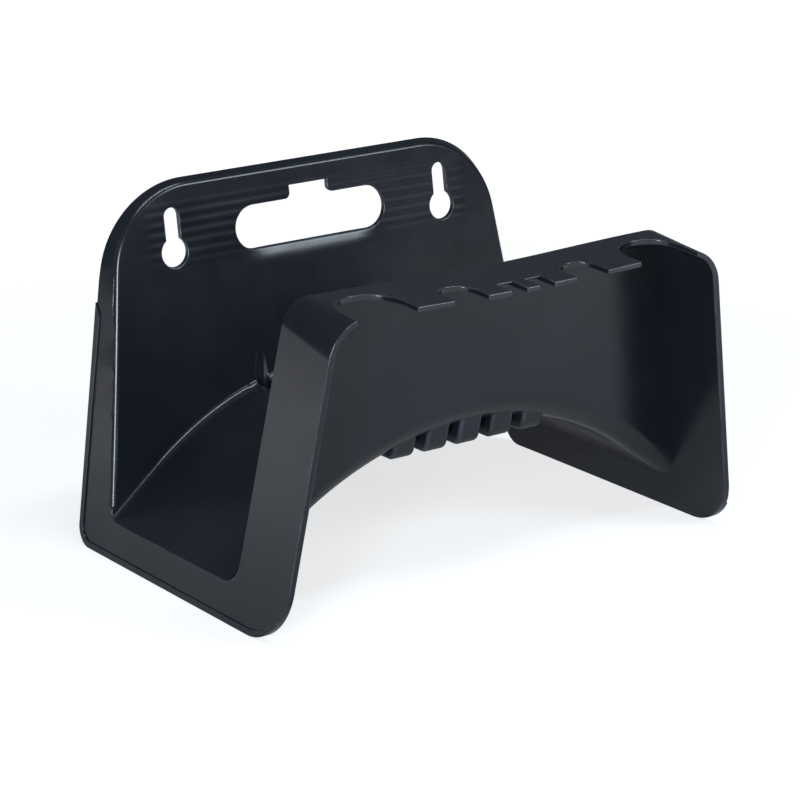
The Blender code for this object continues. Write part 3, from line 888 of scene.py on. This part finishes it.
def mark_sharp_edges(data, normals):
    """Marks the edges at which two faces have unlike corner normals."""
    beside = {}
    for polygon in data.polygons:
        corners = list(polygon.loop_indices)
        for here, there in zip(corners, corners[1:] + corners[:1]):
            ends = {data.loops[corner].vertex_index: normals[corner] for corner in (here, there)}
            beside.setdefault(data.loops[here].edge_index, []).append(ends)
    for number, faces in beside.items():
        if len(faces) == 2:
            unlike = any(faces[0][end].dot(faces[1][end]) < SAME_SHADE for end in faces[0])
            data.edges[number].use_edge_sharp = unlike


def bend(item):
    """Bows the shelf and rolls the panel, with the normals of the straight moulding carried along."""
    data = item.data
    normals = even_normals(data)
    turns = {}
    for vertex in data.vertices:
        here = Vector(vertex.co)
        above = here + Vector((0.0, 0.0, PROBE_STEP))
        if Vector(bow(here)) == here and Vector(bow(above)).y == here.y:
            continue
        columns = []
        for axis in range(3):
            offset = Vector((0.0, 0.0, 0.0))
            offset[axis] = PROBE_STEP
            columns.append((Vector(bow(here + offset)) - Vector(bow(here - offset))) / (2 * PROBE_STEP))
        turns[vertex.index] = Matrix(columns).inverted()
    for loop in data.loops:
        turn = turns.get(loop.vertex_index)
        if turn is not None:
            normals[loop.index] = (turn @ normals[loop.index]).normalized()
    for vertex in data.vertices:
        vertex.co = bow(vertex.co)
    data.polygons.foreach_set("use_smooth", [True] * len(data.polygons))
    mark_sharp_edges(data, normals)
    data.normals_split_custom_set(normals)


def mark_highlighted_edges(data):
    """Marks the narrow faces that round the outer edges, which get a painted highlight and a glossier
    finish.
    """
    mesh = bmesh.new()
    mesh.from_mesh(data)
    marks = []
    for face in mesh.faces:
        longest = max(edge.calc_length() for edge in face.edges)
        sides = [edge for edge in face.edges
                 if len(edge.link_faces) == 2 and edge.calc_length() > longest * LONG_SIDE_SHARE]
        turned = sum(edge.calc_face_angle_signed(0.0) > EDGE_HIGHLIGHT_TURN for edge in sides)
        marks.append(1.0 if face.calc_area() < EDGE_HIGHLIGHT_WIDTH * longest and turned > 1 else 0.0)
    mesh.free()
    layer = data.attributes.new("painted_edge_highlight", "FLOAT", "FACE")
    layer.data.foreach_set("value", marks)


def noise(tree, place, scale, detail):
    """Noise through space at a scale."""
    node = tree.nodes.new("ShaderNodeTexNoise")
    node.inputs["Scale"].default_value = scale
    node.inputs["Detail"].default_value = detail
    tree.links.new(place, node.inputs["Vector"])
    return node.outputs["Fac"]


def ranged(tree, value, source, target, kind="LINEAR"):
    """Value mapped from one range to another, each a pair."""
    node = tree.nodes.new("ShaderNodeMapRange")
    node.interpolation_type = kind
    node.inputs["From Min"].default_value = source[0]
    node.inputs["From Max"].default_value = source[1]
    node.inputs["To Min"].default_value = target[0]
    node.inputs["To Max"].default_value = target[1]
    tree.links.new(value, node.inputs["Value"])
    return node.outputs["Result"]


def maths(tree, operation, *values):
    """Result of a maths operation on numbers and outputs."""
    node = tree.nodes.new("ShaderNodeMath")
    node.operation = operation
    for socket, value in zip(node.inputs, values):
        if isinstance(value, float):
            socket.default_value = value
        else:
            tree.links.new(value, socket)
    return node.outputs[0]


def bump(tree, height, depth, strength=1.0):
    """Bump node for a height between 0 and 1."""
    node = tree.nodes.new("ShaderNodeBump")
    node.inputs["Strength"].default_value = strength
    node.inputs["Distance"].default_value = depth
    tree.links.new(height, node.inputs["Height"])
    return node


def mixed(tree, share, first, second):
    """Mix of two shaders."""
    node = tree.nodes.new("ShaderNodeMixShader")
    for socket, output in zip(node.inputs, (share, first, second)):
        tree.links.new(output, socket)
    return node.outputs[0]


def waves(tree, place, axis, pitch, wander, limits):
    """Soft waves with a pitch, which fade out at limits: each is a value and a pair of places. The
    texture's bands are math.pi / 10 apart at scale 1."""
    wave = tree.nodes.new("ShaderNodeTexWave")
    wave.wave_type = "BANDS"
    wave.bands_direction = axis
    wave.inputs["Scale"].default_value = math.pi / 10 / pitch
    wave.inputs["Distortion"].default_value = wander
    wave.inputs["Detail"].default_value = 1.0
    wave.inputs["Detail Scale"].default_value = 0.5
    tree.links.new(place, wave.inputs["Vector"])
    level = wave.outputs["Fac"]
    for value, (none, full) in limits:
        shares = (0.0, 1.0) if none < full else (1.0, 0.0)
        fade = ranged(tree, value, (min(none, full), max(none, full)), shares, "SMOOTHSTEP")
        level = maths(tree, "MULTIPLY", level, fade)
    return level


def plastic():
    """Satin anthracite plastic with a fine spark-eroded grain, uneven where the mould cooled
    unevenly, with a painted highlight that lightens its outer edges, which are also smoother."""
    material = bpy.data.materials.new("satin_anthracite_plastic")
    material.use_nodes = True
    tree = material.node_tree
    nodes = tree.nodes
    links = tree.links
    shader = nodes["Principled BSDF"]
    place = nodes.new("ShaderNodeTexCoord").outputs["Object"]

    colours = nodes.new("ShaderNodeValToRGB")
    colours.color_ramp.elements[0].position = 0.3
    colours.color_ramp.elements[0].color = (0.0065, 0.0078, 0.0110, 1.0)
    colours.color_ramp.elements[1].position = 0.7
    colours.color_ramp.elements[1].color = (0.0105, 0.0120, 0.0160, 1.0)
    links.new(noise(tree, place, 22.0, 5.0), colours.inputs["Fac"])

    # Painted highlight: the narrow faces along the outer edges get a lighter colour in patches, and also a
    # lower roughness
    painted_edge_highlight = nodes.new("ShaderNodeAttribute")
    painted_edge_highlight.attribute_name = "painted_edge_highlight"
    highlight_patches = ranged(tree, noise(tree, place, 90.0, 3.0), (0.35, 0.65), (0.3, 1.0))
    edge_highlight_and_gloss = maths(tree, "MULTIPLY", painted_edge_highlight.outputs["Fac"], highlight_patches)
    lighter = nodes.new("ShaderNodeMix")
    lighter.data_type = "RGBA"
    plain_colour, highlight_colour, mixed_colour = lighter.inputs[6], lighter.inputs[7], lighter.outputs[2]
    highlight_colour.default_value = (0.040, 0.044, 0.052, 1.0)
    links.new(edge_highlight_and_gloss, lighter.inputs["Factor"])
    links.new(colours.outputs["Color"], plain_colour)
    links.new(mixed_colour, shader.inputs["Base Color"])

    roughness = ranged(tree, noise(tree, place, 60.0, 6.0), (0.3, 0.7), (0.19, 0.26))
    links.new(maths(tree, "MULTIPLY_ADD", edge_highlight_and_gloss, -0.06, roughness), shader.inputs["Roughness"])

    where = nodes.new("ShaderNodeSeparateXYZ")
    links.new(place, where.inputs[0])
    side = maths(tree, "ABSOLUTE", where.outputs["X"])
    depth = where.outputs["Y"]
    height = where.outputs["Z"]
    round_slots = ((height, RIPPLE_BOTTOM), (height, RIPPLE_TOP), (side, RIPPLE_SIDE), (depth, RIPPLE_FRONT))
    over_grooves = ((height, VALLEY_TOP), (side, VALLEY_SIDE), (depth, VALLEY_FRONT))
    ripples = bump(tree, waves(tree, place, "Z", RIPPLE_PITCH, RIPPLE_WANDER, round_slots), RIPPLE_DEPTH)
    valleys = bump(tree, waves(tree, place, "X", GROOVE_PITCH, 0.0, over_grooves), VALLEY_DEPTH)
    grain = bump(tree, noise(tree, place, 1600.0, 2.0), GRAIN_DEPTH, GRAIN_STRENGTH)
    links.new(valleys.outputs["Normal"], ripples.inputs["Normal"])
    links.new(ripples.outputs["Normal"], grain.inputs["Normal"])
    links.new(grain.outputs["Normal"], shader.inputs["Normal"])
    return material


# Hanger
whole = moulding()
soften(whole)
slice_bent(whole)
bend(whole)
mark_highlighted_edges(whole.data)
hanger = bpy.data.objects.new("moulded_hanger", whole.data)
bpy.context.scene.collection.objects.link(hanger)
hanger.data.transform(Matrix.Translation((0.0, FREE_EDGE_DISTANCE / 2, 0.0)))
hanger.data.materials.clear()
hanger.data.materials.append(plastic())
for item in list(work.objects):
    bpy.data.objects.remove(item, do_unlink=True)
bpy.data.collections.remove(work)
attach(hanger, "root")
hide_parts(*sorted(frame["nodes"]))


# Floor
FLOOR_HALF = 8.0


def floor_material():
    """Pale floor that is white to the camera and keeps the shadow. In reflections it is pale, with a painted
    shade that darkens it near the hanger, and it dims far away.
    """
    material = bpy.data.materials.new("pale_floor")
    material.use_nodes = True
    tree = material.node_tree
    nodes = tree.nodes
    links = tree.links
    shader = nodes["Principled BSDF"]
    shader.inputs["Base Color"].default_value = (0.45, 0.45, 0.45, 1.0)
    shader.inputs["Roughness"].default_value = 0.9
    shader.inputs["Specular IOR Level"].default_value = 0.0

    reach = nodes.new("ShaderNodeVectorMath")
    reach.operation = "LENGTH"
    links.new(nodes.new("ShaderNodeTexCoord").outputs["Object"], reach.inputs[0])
    distance = reach.outputs["Value"]
    seen = nodes.new("ShaderNodeEmission")
    rise = ranged(tree, distance, (0.25, 1.3), (0.72, 1.02), "SMOOTHSTEP")
    links.new(rise, seen.inputs["Strength"])
    # Painted shade: in reflections the floor glows dark near the hanger, as if in its shadow, and dimmer
    # again far away
    reflection_with_painted_shade = nodes.new("ShaderNodeEmission")
    reflection_with_painted_shade.inputs["Color"].default_value = (0.95, 0.95, 1.0, 1.0)
    near = ranged(tree, distance, (0.12, 0.85), (0.16, 0.92), "SMOOTHSTEP")
    far = ranged(tree, distance, (0.75, 1.9), (1.0, 0.25), "SMOOTHSTEP")
    links.new(maths(tree, "MULTIPLY", near, far), reflection_with_painted_shade.inputs["Strength"])
    dark = nodes.new("ShaderNodeEmission")
    dark.inputs["Strength"].default_value = 0.0

    path = nodes.new("ShaderNodeLightPath")
    for_gloss = mixed(tree, path.outputs["Is Glossy Ray"], dark.outputs[0], reflection_with_painted_shade.outputs[0])
    for_camera = mixed(tree, path.outputs["Is Camera Ray"], for_gloss, seen.outputs[0])
    both = nodes.new("ShaderNodeAddShader")
    links.new(shader.outputs[0], both.inputs[0])
    links.new(for_camera, both.inputs[1])
    links.new(both.outputs[0], nodes["Material Output"].inputs["Surface"])
    return material


corners = [(x * FLOOR_HALF, y * FLOOR_HALF, 0.0) for x, y in ((-1, -1), (1, -1), (1, 1), (-1, 1))]
ground = bpy.data.meshes.new("floor")
ground.from_pydata(corners, [], [(0, 1, 2, 3)])
ground.materials.append(floor_material())
floor = bpy.data.objects.new("floor", ground)
bpy.context.scene.collection.objects.link(floor)


# Studio light
LAMP_COLOUR = (0.80, 0.90, 1.0)
LAMP_AIM = Vector((0.0, 0.0, 0.08))


def lamp(name, place, size, power):
    """Soft rectangular lamp that faces the hanger."""
    light = bpy.data.lights.new(name, "AREA")
    light.shape = "RECTANGLE"
    light.size, light.size_y = size
    light.energy = power
    light.color = LAMP_COLOUR
    item = bpy.data.objects.new(name, light)
    item.location = place
    item.rotation_euler = (LAMP_AIM - Vector(place)).to_track_quat("-Z", "Y").to_euler()
    bpy.context.scene.collection.objects.link(item)


def studio_world():
    """World that is white to the camera and gives the hanger a little cool light."""
    world = bpy.data.worlds.new("studio")
    world.use_nodes = True
    tree = world.node_tree
    ambient = tree.nodes["Background"]
    ambient.inputs["Color"].default_value = (0.74, 0.86, 1.0, 1.0)
    ambient.inputs["Strength"].default_value = 0.14
    seen = tree.nodes.new("ShaderNodeBackground")
    seen.inputs["Color"].default_value = (1.0, 1.0, 1.0, 1.0)
    seen.inputs["Strength"].default_value = 1.0
    path = tree.nodes.new("ShaderNodeLightPath")
    light = mixed(tree, path.outputs["Is Camera Ray"], ambient.outputs[0], seen.outputs[0])
    tree.links.new(light, tree.nodes["World Output"].inputs["Surface"])
    return world


lamp("top_softbox", (0.0, -0.52, 1.7), (1.3, 0.22), 14.0)
lamp("left_softbox", (-1.35, -1.15, 0.42), (0.35, 0.9), 28.0)
lamp("right_softbox", (0.85, -1.25, 0.85), (0.6, 0.7), 13.0)
bpy.context.scene.world = studio_world()
bpy.context.scene.view_settings.view_transform = "Standard"

# Camera at the photograph's angle
AZIMUTH = math.radians(-35.763)
ELEVATION = math.radians(17.480)
ROLL = math.radians(-0.347)
DISTANCE = 1.47029
TARGET = Vector((0.009449, 0.02295, 0.062672))
FOCAL_PIXELS = 3029.74
IMAGE_PIXELS = 800
PRINCIPAL_POINT = (400.948, 400.172)

back = Vector((math.sin(AZIMUTH) * math.cos(ELEVATION),
               -math.cos(AZIMUTH) * math.cos(ELEVATION),
               math.sin(ELEVATION)))
level = Vector((math.cos(AZIMUTH), math.sin(AZIMUTH), 0.0))
upward = back.cross(level)
right = math.cos(ROLL) * level + math.sin(ROLL) * upward
up = math.cos(ROLL) * upward - math.sin(ROLL) * level
lens = bpy.data.cameras.new("camera")
lens.sensor_width = 36.0
lens.lens = FOCAL_PIXELS / IMAGE_PIXELS * lens.sensor_width
lens.shift_x = (IMAGE_PIXELS / 2 - PRINCIPAL_POINT[0]) / IMAGE_PIXELS
lens.shift_y = (PRINCIPAL_POINT[1] - IMAGE_PIXELS / 2) / IMAGE_PIXELS
lens.clip_start = 0.05
lens.clip_end = 50.0
camera = bpy.data.objects.new("camera", lens)
turn = Matrix((right, up, back)).transposed().to_4x4()
camera.matrix_world = Matrix.Translation(TARGET + back * DISTANCE) @ turn
bpy.context.scene.collection.objects.link(camera)
bpy.context.scene.camera = camera
